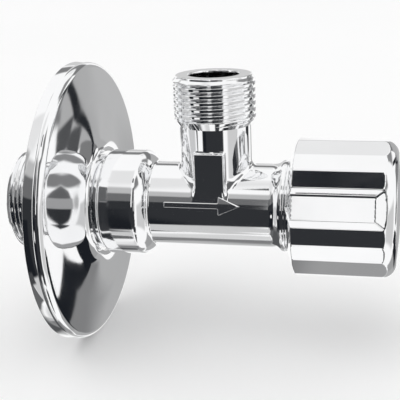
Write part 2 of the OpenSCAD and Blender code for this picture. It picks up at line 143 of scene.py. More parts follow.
class ForgingSizes(bpy.types.PropertyGroup):
    """Sizes of the forged body."""

    shank_r: length("Shank radius", "Radius of the plain shank behind the collar", 9.95)
    collar_x: length("Collar back", "Distance from the wall to the back of the collar", 7.4)
    collar_end_x: length(
        "Collar front", "Distance from the wall to the collar's rounded front", 17.35)
    collar_r: length("Collar radius", "Radius of the collar", 11.0)
    collar_crown_r: length("Collar rounding", "Radius of the collar's turned front", 3.93)
    collar_back_soft: length("Collar back rounding", "Rounding at the back of the collar", 0.8)
    tube_r: length("Tube radius", "Radius of the horizontal tube", 8.65)
    mouth_r: length("Mouth radius", "Radius of the flared mouth of the tube", 9.05)
    neck_r: length("Neck radius", "Radius of the outlet neck", 7.3)
    flat_half_w: length("Flat half width", "Half the width of each flat beside the neck", 3.0)
    flat_y: length("Flat distance", "Distance from the axis to each flat", 7.75)
    flat_top: length("Flat height", "Height of the top edge of the flats", 12.4)
    branch_fillet: length("Branch fillet", "Fillet where the neck leaves the tube", 0.9)
    small_fillet: length("Small fillet", "Fillet in the small corners of the forging", 0.35)
    edge_soft: length("Edge rounding", "Rounding of the cut edges", 0.22)
    chamber_x: length("Chamber floor", "Distance from the wall to the floor of the chamber", 22.6)
    chamber_r: length("Chamber radius", "Radius of the valve chamber", 7.0)
    seat_x: length("Seat face", "Distance from the wall to the seat", 23.5)
    seat_r: length("Seat radius", "Radius of the seat bore", 4.3)
    seat_ring_r: length("Seat ring radius", "Outer radius of the raised seat ring", 5.4)
    inlet_bore_end: length(
        "Inlet bore end", "Distance from the wall to the end of the inlet bore", 18.3)
    way_r: length("Waterway radius", "Radius of the way up to the socket", 4.0)
    step: length("Mesh step", "Edge length of the mesh of the forging", 0.32, 0.05)


class ThreadSizes(bpy.types.PropertyGroup):
    """Sizes of the two pipe threads."""

    inlet_pitch: length("Inlet pitch", "Pitch of the half inch pipe thread", 1.814)
    inlet_depth: length("Inlet depth", "Depth of the half inch pipe thread", 0.9)
    inlet_front: length("Inlet front end", "Where the inlet thread runs out into the shank", 3.0)
    inlet_runout: length("Inlet runout", "Length over which the inlet thread runs out", 0.6)
    outlet_pitch: length("Outlet pitch", "Pitch of the three eighths inch pipe thread", 1.337)
    outlet_depth: length("Outlet depth", "Depth of the three eighths inch pipe thread", 0.55)
    outlet_bottom: length("Outlet bottom end", "Height at which the outlet thread runs out", 17.0)
    outlet_runout: length("Outlet runout", "Length over which the outlet thread runs out", 1.6)
    lead_len: length("Lead length", "Length of the lead chamfer on both threads", 1.0)
    inlet_lead_drop: length("Inlet lead drop", "How far the inlet lead chamfer goes in", 1.0)
    outlet_lead_drop: length("Outlet lead drop", "How far the outlet lead chamfer goes in", 1.1)
    around: whole("Columns", "Mesh columns around a thread", 176, 32)
    rows_per_turn: whole("Rows per turn", "Mesh rows in one turn of a thread", 15, 6)


class FlangeSizes(bpy.types.PropertyGroup):
    """Sizes of the pressed wall flange."""

    depth: length("Rim depth", "Depth of the rim, from the wall to the front of the lip", 3.7)
    lip_r: length("Lip radius", "Radius of the rolled lip", 1.3)
    lip_drop: length("Lip drop", "How much smaller the lip is than the back of the rim", 0.1)
    swell: length("Swell", "How far the face swells in front of the lip", 0.5)
    swell_r: length("Swell radius", "Radius inside which the face swells no further", 18.0)
    bell_w: length("Bell width", "Width of the bell on the radius", 10.0)
    neck_r: length("Neck radius", "Inner radius of the neck", 10.65)
    sheet: length("Sheet", "Thickness of the sheet", 0.9)
    around: whole("Columns", "Mesh columns around the flange", 288, 48)


class HandleSizes(bpy.types.PropertyGroup):
    """Sizes of the fluted handle."""

    ridge_r: length("Ridge radius", "Radius of the ridges between the flat facets", 14.0)
    rim_r: length("Rim radius", "Outer radius of the rim around the mouth", 9.35)
    bevel_len: length("Bevel length", "Length of the bevel behind the lobes", 1.9)
    crown_r: length("Crown rounding", "Radius of the rounding at the end", 2.9)
    dome_r: length("Dome radius", "Radius of the domed end face", 90.3)
    flute_turn: angle("Flute angle", "Angle of the first flute above the front", 16)
    facet_turn: angle("First ridge", "Angle from the middle of a flute to the first ridge", 31.2)
    top_facet_turn: angle(
        "Second ridge", "Angle from the middle of a flute to the next ridge", 47.3)
    flute_floor_half: length("Flute floor", "Half the width of a flute at its floor", 2.45)
    flute_half: length("Flute edge", "Half the width of a flute at its edges", 3.8)
    flute_depth: length("Flute depth", "Depth of a flute below its edges", 1.2)
    flute_end: length("Flute end", "Distance from the end of the handle to the floor's end", 4.6)
    ramp_len: length("Ramp", "Length of the ramp at the end of a flute", 1.9)
    ridge_soft: length("Ridge rounding", "Polish on the ridges between the facets", 0.05)
    edge_soft: length("Edge rounding", "Polish on the edges of the flutes and the bevel", 0.12)
    mouth_r: length("Mouth radius", "Radius of the open mouth", 9.0)
    pocket_end: length("Pocket end", "Distance from the wall to the end of the pocket", 62.2)
    boss_x: length("Boss start", "Distance from the wall to the start of the boss", 58.4)
    boss_r: length("Boss radius", "Radius of the boss around the insert", 7.6)
    insert_af: length("Insert size", "Size of the insert's hole across its flats", 10.4)
    web_x: length("Web start", "Distance from the wall to the web that the screw clamps", 62.4)
    screw_seat_x: length("Screw seat", "Distance from the wall to the seat of the washer", 64.0)
    screw_hole_r: length("Screw hole", "Radius of the hole in the web", 2.2)
    recess_r: length("Recess radius", "Radius of the recess for the screw and its plug", 3.75)
    step: length("Mesh step", "Edge length of the mesh of the handle", 0.25, 0.05)


class MarkSizes(bpy.types.PropertyGroup):
    """Sizes of the raised flow arrow on the tube."""

    start_x: length("Start", "Distance from the wall to the tail of the arrow", 21.0)
    length_x: length("Length", "Length of the arrow along the tube", 15.5)
    head_len: length("Head length", "Length of the head", 4.4)
    head_half: length("Head half width", "Half the width of the head", 1.9)
    shaft_half: length("Shaft half width", "Half the width of the shaft", 0.55)
    height: length("Height", "How far the arrow stands out", 0.3)
    turn: angle("Angle", "Angle of the arrow above the front of the tube", 14)
    step: length("Mesh step", "Edge length of the mesh of the arrow", 0.1, 0.03)


class FinishColours(bpy.types.PropertyGroup):
    """Colours of the finishes."""

    chrome: tone("Chrome", "Reflection colour of the plating", 0.96, 0.963, 0.97)
    brass: tone("Brass", "Reflection colour of the turned brass", 0.78, 0.6, 0.3)
    steel: tone("Steel", "Reflection colour of the zinc plated steel", 0.62, 0.62, 0.64)
    rubber: tone("Rubber", "Colour of the seals", 0.035, 0.035, 0.037)
    fibre: tone("Fibre", "Colour of the fibre gasket", 0.42, 0.16, 0.12)
    nylon: tone("Nylon", "Colour of the plastic parts", 0.9, 0.89, 0.84)


class StudioSettings(bpy.types.PropertyGroup):
    """Camera, floor and light."""

    camera_place: FloatVectorProperty(
        name="Camera place", description="Place of the camera in millimetres",
        default=(70.1, -173.9, 53.8))
    camera_yaw: angle("Yaw", "Turn of the camera about the vertical", 11.43)
    camera_pitch: angle("Pitch", "How far the camera looks down", 16.58)
    camera_roll: angle("Roll", "Roll of the camera", 1.61)
    focal_share: amount("Focal length", "Focal length as a share of the picture's width", 2.2348)
    shift_x: amount("Shift", "Sideways shift of the picture", -0.1)
    floor_half: FloatProperty(
        name="Floor size", description="Half the side of the floor, in metres", default=6.0,
        unit="LENGTH")
    fill_strength: amount("Fill", "Strength of the even light from all round", 0.84)
    key_strength: amount("Key", "Strength of the large soft light above the valve", 0.9)


def settings(name):
    """The settings group of that name on the scene."""
    return getattr(bpy.context.scene, "valve_" + name)


# Rounded solids as signed distances, in millimetres

# How often a point is pulled onto the surface, over what reach a slope is measured for a pull and
# for a normal, and the least square of a slope that a pull is divided by
PULLS = 5
PULL_REACH = 0.01
NORMAL_REACH = 0.02
FLATTEST = 0.2


def soft_cylinder(along, out, low, high, radius, soft_low=CRISP, soft_high=CRISP):
    """Distance to a cylinder between two ends, with its own rounding at each end."""
    soft = np.where(along < (low + high) / 2, soft_low, soft_high)
    end = np.abs(along - (low + high) / 2) - (high - low) / 2 + soft
    side = out - radius + soft
    corner = np.hypot(np.maximum(end, 0), np.maximum(side, 0))
    return corner + np.minimum(np.maximum(end, side), 0) - soft


def soft_block(offsets, halves, soft):
    """Distance to a rounded block, from the offsets to its middle along each axis."""
    gaps = [np.abs(offset) - half + soft for offset, half in zip(offsets, halves)]
    outside = np.sqrt(sum(np.maximum(gap, 0) ** 2 for gap in gaps))
    return outside + np.minimum(np.maximum.reduce(gaps), 0) - soft


def joined(a, b, fillet):
    """Two solids as one, with a fillet in the corner between them."""
    u = np.maximum(fillet - a, 0)
    v = np.maximum(fillet - b, 0)
    return np.maximum(fillet, np.minimum(a, b)) - np.hypot(u, v)


def common(a, b, soft):
    """What two solids share, with the edge between them rounded."""
    return -joined(-a, -b, soft)


def without(a, b, soft):
    """The first solid with the second cut out, with the edge of the cut rounded."""
    return -joined(-a, b, soft)


def slopes(distance, points, reach):
    """Direction in which the distance grows at each point, by central differences."""
    result = np.empty_like(points)
    for axis in range(3):
        shift = np.zeros(3)
        shift[axis] = reach
        result[:, axis] = distance(points + shift) - distance(points - shift)
    return result / (2 * reach)


def crossing_quads(field, index, axis):
    """Quads and crossing points of the grid edges along one axis that pass through the surface."""
    count = field.shape[axis]
    low = np.take(field, range(count - 1), axis)
    high = np.take(field, range(1, count), axis)
    cells = np.argwhere((low < 0) != (high < 0))
    a, b = low[tuple(cells.T)], high[tuple(cells.T)]
    points = cells.astype(float)
    points[:, axis] += a / (a - b)
    first, second = [k for k in range(3) if k != axis]
    corners = []
    for back_first, back_second in ((0, 0), (1, 0), (1, 1), (0, 1)):
        cell = cells.copy()
        cell[:, first] -= back_first
        cell[:, second] -= back_second
        corners.append(index[tuple(cell.T)])
    quads = np.stack(corners, 1)
    turned = (a >= 0) != (axis == 1)
    quads[turned] = quads[turned][:, ::-1]
    return quads, points


def pulled_to_surface(distance, start, farthest):
    """The points moved onto the surface, each no farther than so much along an axis."""
    points = start.copy()
    for _ in range(PULLS):
        slope = slopes(distance, points, PULL_REACH)
        pull = distance(points) / np.maximum((slope ** 2).sum(1), FLATTEST)
        points -= pull[:, None] * slope
        points = start + np.clip(points - start, -farthest, farthest)
    return points


def shell_of(distance, low, high, step):
    """Points, faces and exact normals of a closed mesh on the surface where distance is zero."""
    margin = 1.7 * step
    low = np.array(low, float) - margin
    axes = [np.arange(a, b + 3 * step, step) for a, b in zip(low, high)]
    grid = np.stack(np.meshgrid(*axes, indexing="ij"), -1)
    field = distance(grid.reshape(-1, 3)).reshape(grid.shape[:3])
    inside = (field < 0).astype(np.int8)
    count = sum(inside[i:inside.shape[0] - 1 + i, j:inside.shape[1] - 1 + j,
                       k:inside.shape[2] - 1 + k] for i in (0, 1) for j in (0, 1) for k in (0, 1))
    mixed = (count > 0) & (count < 8)
    index = np.full(mixed.shape, -1)
    index[mixed] = np.arange(mixed.sum())
    total = np.zeros((mixed.sum(), 3))
    hits = np.zeros(mixed.sum())
    faces = []
    for axis in range(3):
        quads, points = crossing_quads(field, index, axis)
        faces.append(quads)
        for corner in quads.T:
            for k in range(3):
                total[:, k] += np.bincount(corner, points[:, k], len(hits))
            hits += np.bincount(corner, minlength=len(hits))
    start = low + step * total / hits[:, None]
    points = pulled_to_surface(distance, start, 0.7 * step)
    normals = slopes(distance, points, NORMAL_REACH)
    normals /= np.maximum(np.linalg.norm(normals, axis=1), 1e-9)[:, None]
    return points, np.concatenate(faces), normals


# Mesh objects

# Points closer than this, in metres, are one point
SAME_POINT = 2e-7


def add_object(name, data):
    """A new object at the origin for a mesh or a camera."""
    piece = bpy.data.objects.new(name, data)
    bpy.context.scene.collection.objects.link(piece)
    return piece


def shell_piece(name, distance, low, high, step):
    """A piece from a signed distance, shaded with the surface's own normals."""
    points, faces, normals = shell_of(distance, low, high, step)
    mesh = bpy.data.meshes.new(name)
    mesh.from_pydata((points * MM).tolist(), [], faces.tolist())
    mesh.polygons.foreach_set("use_smooth", [True] * len(mesh.polygons))
    mesh.normals_split_custom_set_from_vertices(normals.tolist())
    return add_object(name, mesh)


def lathe_piece(name, profile, around, closed=True, crease=35):
    """A piece turned about the inlet axis from [x, radius] points."""
    turns = np.arange(around) * math.tau / around
    shape = np.array(profile, float)
    points = np.stack([
        np.repeat(shape[:, 0], around),
        np.outer(shape[:, 1], np.cos(turns)).ravel(),
        np.outer(shape[:, 1], np.sin(turns)).ravel()], 1)
    rows = len(shape)
    faces = []
    for row in range(rows if closed else rows - 1):
        here, there = row * around, (row + 1) % rows * around
        faces += [(here + k, there + k, there + (k + 1) % around, here + (k + 1) % around)
                  for k in range(around)]
    mesh = bpy.data.meshes.new(name)
    mesh.from_pydata((points * MM).tolist(), [], faces)
    tidy_mesh(mesh, crease)
    return add_object(name, mesh)


def tidy_mesh(mesh, crease):
    """Joins doubled points, turns the faces outwards and shades smoothly up to an angle."""
    work = bmesh.new()
    work.from_mesh(mesh)
    bmesh.ops.remove_doubles(work, verts=work.verts, dist=SAME_POINT)
    bmesh.ops.recalc_face_normals(work, faces=work.faces)
    work.to_mesh(mesh)
    work.free()
    mesh.polygons.foreach_set("use_smooth", [True] * len(mesh.polygons))
    mesh.set_sharp_from_angle(angle=math.radians(crease))


def arc(centre_x, centre_r, radius, start, end, steps=16):
    """Points [x, radius] of an arc, with the angles in degrees."""
    angles = np.radians(np.linspace(start, end, steps + 1))
    return [(centre_x + radius * math.cos(a), centre_r + radius * math.sin(a)) for a in angles]


def finish_piece(piece, material, body, slot, *nodes):
    """Gives a piece its material, hangs it on the empty of its body and hides the nodes of the
    solid model that it takes the place of. The slot is not used.
    """
    piece.data.materials.clear()
    piece.data.materials.append(bpy.data.materials[material])
    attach(piece, body)
    if nodes:
        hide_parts(*nodes)


# Forms of this valve

# The arc of the collar's front, as turns from straight out, and the rounding where it ends
CROWN_START_TURN = math.radians(20)
CROWN_END_TURN = math.radians(70)
CROWN_SOFT = 0.12
# The flare at the mouth of the tube
MOUTH_LEN = 0.55
MOUTH_BACK_SOFT = 0.1
MOUTH_FILLET = 2.2
# The seat ring's edge, and the rounded tip of the drill that made the inlet bore
SEAT_SOFT = 0.1
DRILL_TIP = 0.9
DRILL_SOFT = 1.0
# How far the core lies under the roots of a thread, and the shank under the end of the inlet's
ROOT_GAP = 0.06
SHANK_LAP = 0.1
# The handle's lobes, and how far its blank stands over the ridges, which the facets cut away
LOBES = 3
RIDGE_STOCK = 0.1
# How far the dome's top stands over the handle's end, on the axis, where the recess cuts it away
DOME_RISE = 0.08
# Roundings at the foot of the flutes, in the pocket, on the boss and along the hollow's edges
FLUTE_FILLET = 0.18
POCKET_FILLET = 0.3
BOSS_SOFT = 0.15
HOLLOW_SOFT = 0.12
# How far the insert's place reaches into the hollows at its ends
INSERT_LAP = 0.001
# The flange: rounding at the back of its rim, the turn in degrees at which its lip begins, and how
# many steps its face and its bell are made in
RIM_SOFT = 0.12
LIP_START = 115
FACE_STEPS = 24
BELL_STEPS = 50
# The plug: rounding of its edge, how far behind its top that lies, and its dome with its half
# turn in degrees
PLUG_SOFT = 0.3
PLUG_EDGE_DROP = 0.45
PLUG_DOME_R = 40
PLUG_DOME_TURN = 4.6
# Roundings of the arrow: in plan, between shaft and head, and along its top
ARROW_SOFT = 0.2
ARROW_FILLET = 0.25
ARROW_TOP_SOFT = 0.16
# Room for the arrow's mesh beyond its edges
ARROW_ROOM = 0.6


def collar_distance(x, out):
    """Distance to the collar, whose front is turned to an arc."""
    size = settings("forging")
    collar = soft_cylinder(x, out, size.collar_x, size.collar_end_x + 3 * OVERLAP, size.collar_r,
                           size.collar_back_soft)
    crown_x = size.collar_end_x - size.collar_crown_r * math.sin(CROWN_END_TURN)
    crown_out = size.collar_r - size.collar_crown_r * math.cos(CROWN_START_TURN)
    crown = np.hypot(np.maximum(x - crown_x, 0), np.maximum(out - crown_out, 0))
    return common(collar, crown - size.collar_crown_r, CROWN_SOFT)


def tube_distance(x, out):
    """Distance to the horizontal tube with its flared mouth."""
    size = settings("forging")
    tube = soft_cylinder(x, out, size.collar_x + OVERLAP, TUBE_END, size.tube_r,
                         soft_high=size.edge_soft)
    mouth = soft_cylinder(x, out, TUBE_END - MOUTH_LEN, TUBE_END, size.mouth_r,
                          MOUTH_BACK_SOFT, size.edge_soft)
    return joined(tube, mouth, MOUTH_FILLET)


def branch_distance(x, y, z, beside):
    """Distance to the outlet neck with the block that has the two flats."""
    size = settings("forging")
    neck = soft_cylinder(z, beside, 0, OUTLET_TOP - OVERLAP, size.neck_r)
    block = soft_block((x - OUTLET_X, y, z - size.flat_top / 2),
                       (size.flat_half_w, size.flat_y, size.flat_top / 2), size.edge_soft)
    return joined(neck, block, size.small_fillet)


def waterway_distance(x, out, z, beside):
    """Distance to the hollow of the body, in which the seat ring is left standing."""
    size = settings("forging")
    seat_ring = soft_cylinder(x, out, size.seat_x - 3 * OVERLAP, size.seat_x, size.seat_ring_r,
                              soft_high=SEAT_SOFT)
    chamber = soft_cylinder(x, out, size.chamber_x, TUBE_END + THROUGH, size.chamber_r)
    hollow = without(chamber, seat_ring, CRISP)
    way = soft_cylinder(z, beside, 0, OUTLET_TOP, size.way_r)
    socket = soft_cylinder(z, beside, SOCKET_FLOOR, OUTLET_TOP + THROUGH,
                           mount_radius("outlet_bore"))
    inlet = soft_cylinder(x, out, INLET_END - THROUGH, size.inlet_bore_end + DRILL_TIP,
                          mount_radius("inlet_bore"), soft_high=DRILL_SOFT)
    seat = soft_cylinder(x, out, size.inlet_bore_end - OVERLAP, size.seat_x + OVERLAP, size.seat_r)
    for hole in (way, socket, inlet, seat):
        hollow = np.minimum(hollow, hole)
    return hollow


def forging_distance(points):
    """Distance to the forged body without its pipe threads."""
    size = settings("forging")
    threads = settings("threads")
    x, y, z = points.T
    out = np.hypot(y, z)
    beside = np.hypot(x - OUTLET_X, y)
    inlet_core_r = mount_radius("inlet_thread") - threads.inlet_depth - ROOT_GAP
    outlet_core_r = mount_radius("outlet_thread") - threads.outlet_depth - ROOT_GAP
    shank = soft_cylinder(x, out, threads.inlet_front - SHANK_LAP, size.collar_x + 2 * OVERLAP,
                          size.shank_r)
    body = joined(collar_distance(x, out), shank, size.small_fillet)
    body = np.minimum(body, soft_cylinder(x, out, INLET_END, size.collar_x, inlet_core_r))
    body = joined(body, tube_distance(x, out), size.small_fillet)
    body = joined(body, branch_distance(x, y, z, beside), size.branch_fillet)
    body = np.minimum(body, soft_cylinder(z, beside, threads.outlet_bottom + OVERLAP, OUTLET_TOP,
                                          outlet_core_r, soft_high=size.edge_soft))
    return without(body, waterway_distance(x, out, z, beside), size.edge_soft)


def flute_distance(x, across, outward):
    """Distance to what one flute cuts away. Outward is measured along the flute's middle."""
    size = settings("handle")
    edge = size.ridge_r * math.cos(math.asin(size.flute_half / size.ridge_r))
    floor = edge - size.flute_depth
    flare = math.atan2(size.flute_half - size.flute_floor_half, size.flute_depth)
    wall = ((np.abs(across) - size.flute_floor_half) * math.cos(flare)
            - (outward - floor) * math.sin(flare))
    ramp_turn = math.atan2(size.flute_depth, size.ramp_len)
    ramp = ((x - (HANDLE_END - size.flute_end)) * math.sin(ramp_turn)
            + (floor - outward) * math.cos(ramp_turn))
    rise = math.atan2(size.ridge_r - size.rim_r, size.bevel_len)
    bevel_x = HANDLE_START + size.bevel_len + (edge - size.ridge_r) / math.tan(rise)
    bevel = (x - bevel_x) * math.sin(rise) + (floor - outward) * math.cos(rise)
    under = np.minimum(bevel, np.maximum(floor - outward, ramp))
    return common(wall, under, FLUTE_FILLET)


def handle_blank_distance(x, out):
    """Distance to the turned blank of the handle, with its bevel, crown and domed end."""
    size = settings("handle")
    rise = math.atan2(size.ridge_r - size.rim_r, size.bevel_len)
    bevel = (HANDLE_START - x) * math.sin(rise) + (out - size.rim_r) * math.cos(rise)
    side = out - size.ridge_r - RIDGE_STOCK
    dome = np.sqrt((x - (HANDLE_END + DOME_RISE) + size.dome_r) ** 2 + out ** 2) - size.dome_r
    blank = common(common(bevel, side, size.edge_soft), HANDLE_START - x, CRISP)
    return common(blank, common(dome, side, size.crown_r), CRISP)


def handle_hollow_distance(x, y, z, out):
    """Distance to the pocket around the boss, the insert's place, the screw hole and recess."""
    size = settings("handle")
    pocket = soft_cylinder(x, out, HANDLE_START - 3 * OVERLAP, size.pocket_end, size.mouth_r,
                           soft_high=POCKET_FILLET)
    boss = soft_cylinder(x, out, size.boss_x, size.pocket_end + 3 * OVERLAP, size.boss_r,
                         BOSS_SOFT)
    insert = [np.abs(y * math.sin(turn) - z * math.cos(turn)) - size.insert_af / 2
              for turn in np.radians((30, 90, 150))]
    insert.append(np.abs(x - (size.boss_x + size.web_x) / 2) - (size.web_x - size.boss_x) / 2
                  - INSERT_LAP)
    hollow = np.minimum(without(pocket, boss, BOSS_SOFT), np.maximum.reduce(insert))
    hole = soft_cylinder(x, out, size.web_x - OVERLAP, size.screw_seat_x + OVERLAP,
                         size.screw_hole_r)
    recess = soft_cylinder(x, out, size.screw_seat_x, HANDLE_END + THROUGH, size.recess_r)
    return np.minimum(np.minimum(hollow, hole), recess)


def handle_distance(points):
    """Distance to the fluted handle, with flat facets on the lobes between its flutes."""
    size = settings("handle")
    x, y, z = points.T
    out = np.hypot(y, z)
    handle = handle_blank_distance(x, out)
    ridges = (math.asin(size.flute_half / size.ridge_r), size.facet_turn, size.top_facet_turn)
    lobe_turn = math.pi / LOBES
    facets = []
    for lobe in range(LOBES):
        middle = size.flute_turn + lobe * math.tau / LOBES
        front = np.cos(middle) * -y + np.sin(middle) * z
        side = np.sin(middle) * y + np.cos(middle) * z
        for low, high in zip(ridges, ridges[1:]):
            turn = (low + high) / 2
            reach = size.ridge_r * math.cos((high - low) / 2)
            for way in (-1, 1):
                facets.append(front * math.cos(turn) + way * side * math.sin(turn) - reach)
        top_reach = size.ridge_r * math.cos(lobe_turn - size.top_facet_turn)
        facets.append(front * math.cos(lobe_turn) + side * math.sin(lobe_turn) - top_reach)
        handle = without(handle, flute_distance(x, side, front), size.edge_soft)
    for facet in facets:
        handle = common(handle, facet, size.ridge_soft)
    return without(handle, handle_hollow_distance(x, y, z, out), HOLLOW_SOFT)


def flange_profile(size):
    """Closed outline of the flange's sheet: rim, rolled lip, swelling face, bell and neck."""
    outer = size.neck_r + size.sheet
    lip_out = FLANGE_R - size.lip_drop - size.lip_r
    rise = FLANGE_NECK_X - size.depth - size.swell

    def face_x(out):
        """Distance from the wall to the front of the sheet, at a radius."""
        swollen = 1 - (max(out - size.swell_r, 0) / (lip_out - size.swell_r)) ** 2
        bell = 1 - min(max(out - outer, 0) / size.bell_w, 1)
        return size.depth + size.swell * swollen + rise * (1 - math.sqrt(1 - bell ** 2))

    outs = [lip_out - (lip_out - outer - size.bell_w) * k / FACE_STEPS
            for k in range(1, FACE_STEPS)]
    outs += [outer + size.bell_w * (1 - math.sin(math.radians(k * (90 / BELL_STEPS))))
             for k in range(BELL_STEPS + 1)]
    face = [(face_x(out), out) for out in outs]
    back = [(x - size.sheet, out - size.sheet * (1 - (out - outer) / (lip_out - outer)))
            for x, out in face[::-1]]
    lip_end = math.degrees(math.atan2(2 * size.swell, lip_out - size.swell_r))
    return ([(0, FLANGE_R - size.sheet), (0, FLANGE_R - RIM_SOFT)]
            + arc(RIM_SOFT, FLANGE_R - RIM_SOFT, RIM_SOFT, 180, 90, 4)
            + arc(size.depth - size.lip_r, lip_out, size.lip_r, LIP_START, lip_end, 24)
            + face + [(FLANGE_NECK_X, size.neck_r)] + back
            + [(size.depth - size.sheet, FLANGE_R - size.sheet - size.lip_drop)])


def plug_profile():
    """Outline of the handle's plug, from its back to the top of its dome on the axis."""
    return ([(PLUG_START, 0), (PLUG_START, PLUG_R)]
            + arc(PLUG_END - PLUG_EDGE_DROP, PLUG_R - PLUG_SOFT, PLUG_SOFT, 90, 25, 8)
            + arc(PLUG_END - PLUG_DOME_R, 0, PLUG_DOME_R, PLUG_DOME_TURN, 0, 10))


def arrow_distance(points):
    """Distance to the raised arrow that shows the direction of flow."""
    size = settings("mark")
    tube_r = settings("forging").tube_r
    x, y, z = points.T
    height = np.hypot(y, z) - tube_r
    across = (np.arctan2(z, -y) - size.turn) * tube_r
    along = x - size.start_x
    shaft_len = size.length_x - size.head_len
    shaft = soft_block((along - shaft_len / 2 - ARROW_SOFT, across),
                       (shaft_len / 2 + ARROW_SOFT, size.shaft_half), ARROW_SOFT)
    point = math.atan2(size.head_half, size.head_len)
    sides = (along - size.length_x) * math.sin(point) + np.abs(across) * math.cos(point)
    head = common(sides, shaft_len - along, ARROW_SOFT)
    flat = joined(shaft, head, ARROW_FILLET)
    slab = np.abs(height) - size.height
    return common(flat, slab, ARROW_TOP_SOFT)


# Pipe threads by geometry nodes

# Share of half a pitch that a flank takes up, from the root to the crest
FLANK_SHARE = 0.62
# Points of the sleeve's seam closer than this, in metres, are merged
SEAM_GAP = 4e-7
# The sleeve's wall under its deepest cut, how far its ends stay inside the body's own ends, and
# how far a runout sinks under the neck or the shank, in millimetres
SLEEVE_WALL = 0.4
SLEEVE_INSET = 0.02
RUNOUT_SINK = 0.03
# Rows of the sleeve beyond those that its turns need
SPARE_ROWS = 4


def math_node(tree, operation, *values):
    """A math node whose inputs are sockets or numbers. Returns its output socket."""
    node = tree.nodes.new("ShaderNodeMath")
    node.operation = operation
    for socket, value in zip(node.inputs, values):
        if isinstance(value, bpy.types.NodeSocket):
            tree.links.new(value, socket)
        else:
            socket.default_value = value
    return node.outputs[0]


def mixed_number(tree, share, first, second):
    """A number that goes from the first to the second as share goes from 0 to 1."""
    node = tree.nodes.new("ShaderNodeMix")
    node.data_type = "FLOAT"
    for socket, value in (("Factor", share), ("A", first), ("B", second)):
        tree.links.new(value, node.inputs[socket])
    return node.outputs[0]


def thread_inputs(tree):
    """Gives the tree its named inputs and its output. Returns the input sockets."""
    face = tree.interface
    for name, value in (
            ("Start", 0.0), ("End", 0.01), ("Pitch", 0.001), ("Crest radius", 0.01),
            ("Depth", 0.001), ("Inner radius", 0.008), ("Start drop", 0.001),
            ("Start slope", 1.0), ("End drop", 0.001), ("End slope", 1.0),
            ("Columns", 64), ("Rows", 64)):
        kind = "NodeSocketInt" if isinstance(value, int) else "NodeSocketFloat"
        face.new_socket(name=name, in_out="INPUT", socket_type=kind).default_value = value
    face.new_socket(name="Material", in_out="INPUT", socket_type="NodeSocketMaterial")
    face.new_socket(name="Geometry", in_out="OUTPUT", socket_type="NodeSocketGeometry")
    return tree.nodes.new("NodeGroupInput").outputs


def thread_height(sums, given, turn, row, last):
    """Height of each point of the sleeve's outside, whose rows climb a pitch in each turn."""
    span = sums("SUBTRACT", given["End"], given["Start"])
    share = sums("DIVIDE", sums("SUBTRACT", row, 1), sums("SUBTRACT", last, 3))
    travel = sums("ADD", span, sums("MULTIPLY", given["Pitch"], 2))
    lowest = sums("SUBTRACT", given["Start"], given["Pitch"])
    height = sums("ADD", sums("MULTIPLY", share, travel), lowest)
    height = sums("ADD", height, sums("MULTIPLY", turn, given["Pitch"]))
    return sums("MINIMUM", sums("MAXIMUM", height, given["Start"]), given["End"])


def thread_radius(tree, sums, given, turn, height):
    """Radius of the thread at each height, with a runout or lead chamfer at both ends."""
    phase = sums("SUBTRACT", sums("DIVIDE", height, given["Pitch"]), turn)
    wave = sums("SUBTRACT", sums("MULTIPLY", sums("FRACT", phase), 2), 1)
    flank = tree.nodes.new("ShaderNodeMapRange")
    flank.interpolation_type = "SMOOTHSTEP"
    flank.inputs["From Max"].default_value = FLANK_SHARE
    tree.links.new(sums("ABSOLUTE", wave), flank.inputs["Value"])
    cut = sums("MULTIPLY", sums("SUBTRACT", 1, flank.outputs[0]), given["Depth"])
    radius = sums("SUBTRACT", given["Crest radius"], cut)
    for end, way in (("Start", 1), ("End", -1)):
        inwards = sums("MULTIPLY", sums("SUBTRACT", height, given[end]), way)
        rise = sums("MULTIPLY", inwards, given[end + " slope"])
        bound = sums("SUBTRACT", given["Crest radius"],
                     sums("SUBTRACT", given[end + " drop"], rise))
        radius = sums("MINIMUM", radius, bound)
    return radius


